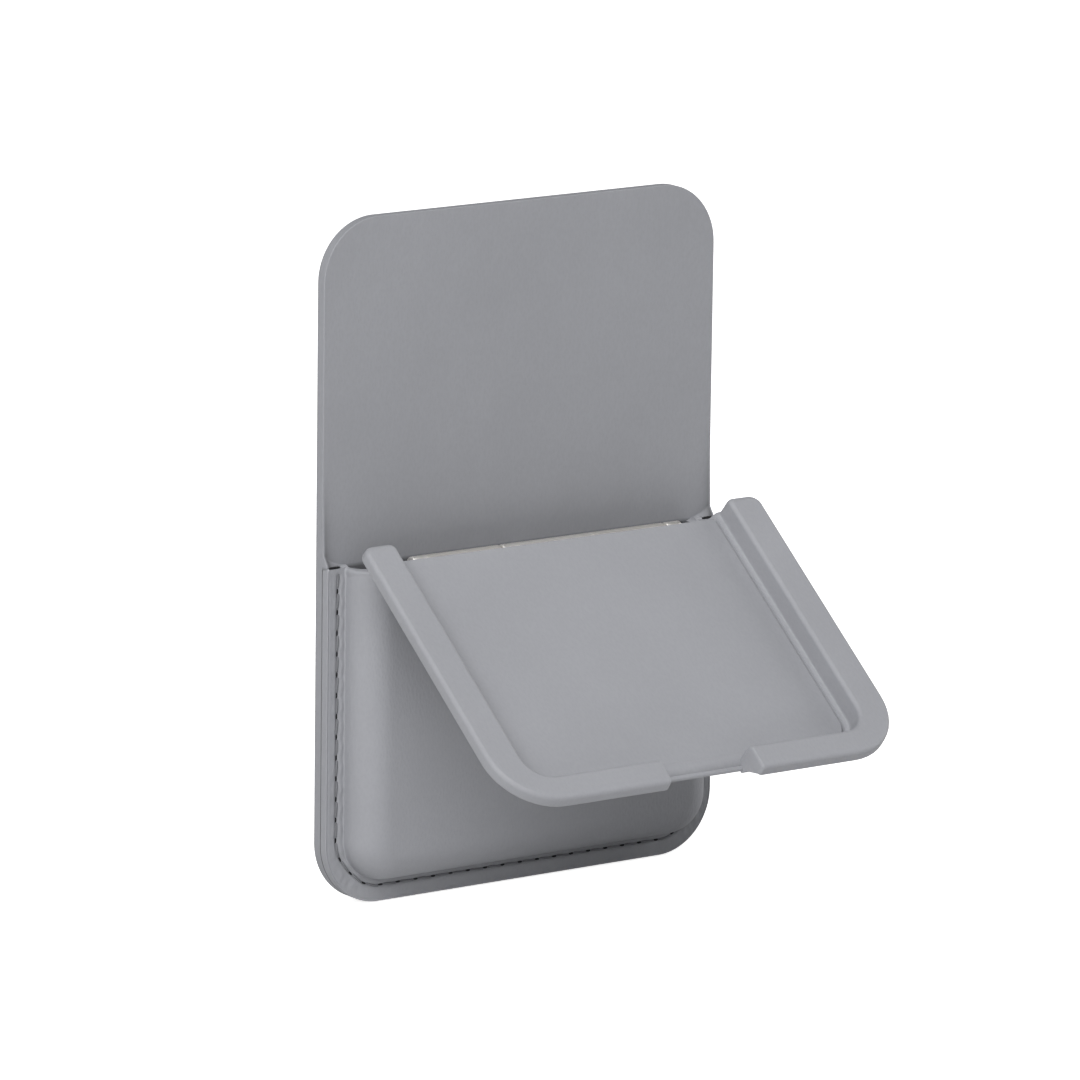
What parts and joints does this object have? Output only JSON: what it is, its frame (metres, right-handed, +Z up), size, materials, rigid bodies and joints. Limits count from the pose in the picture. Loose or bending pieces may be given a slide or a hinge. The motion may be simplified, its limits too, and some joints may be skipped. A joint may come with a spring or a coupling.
{
  "type": "magnetic phone card holder",
  "caption": "Slim card wallet that clings to the back of a phone; its hinged lid swings down as a foot for a stand.",
  "frame": {"origin": "middle of the phone magnet ring, on the flat rear face that lies against the phone", "axes": "+Z up, towards the top edge of the wallet; +X to the right as seen from the card side; +Y out of the rear face, into the phone; the wallet opens towards -Y"},
  "size_m": [0.0666, 0.0498, 0.0968],
  "materials": {
    "cover": "soft matt grey leather-like cover",
    "lining": "smooth grey leather-like lining",
    "board": "moulded stiff shell, hidden",
    "magnet": "nickel plated magnet, hidden",
    "steel": "thin steel sheet, hidden",
    "thread": "dark sewing thread",
    "pin": "polished steel pin",
    "hinge": "satin warm steel hinge"
  },
  "bodies": {
    "back": {"rear_skin": "cover", "panel_core": "board", "ring_magnet_01": "magnet", "ring_magnet_02": "magnet", "ring_magnet_03": "magnet", "ring_magnet_04": "magnet", "ring_magnet_05": "magnet", "ring_magnet_06": "magnet", "ring_magnet_07": "magnet", "ring_magnet_08": "magnet", "ring_magnet_09": "magnet", "ring_magnet_10": "magnet", "ring_magnet_11": "magnet", "ring_magnet_12": "magnet", "ring_magnet_13": "magnet", "ring_magnet_14": "magnet", "ring_magnet_15": "magnet", "ring_magnet_16": "magnet", "ring_shield": "steel", "alignment_magnet": "magnet", "keeper_left": "steel", "keeper_right": "steel", "panel_lining": "lining", "pocket_shell": "board", "pocket_skin": "cover", "seam_thread": "thread", "hinge_leaf_pocket": "hinge", "hinge_pin": "pin"},
    "lid": {"hinge_leaf_lid": "hinge", "lid_shell": "board", "lid_skin": "cover", "lid_lining": "lining", "lid_magnet_left": "magnet", "lid_magnet_right": "magnet"}
  },
  "joints": [
    {"name": "lid_hinge", "type": "hinge", "parent": "back", "child": "lid", "pos_m": [0, -0.00882, -0.0095], "axis": [1, 0, 0], "range_deg": [-128, 37]}
  ]
}
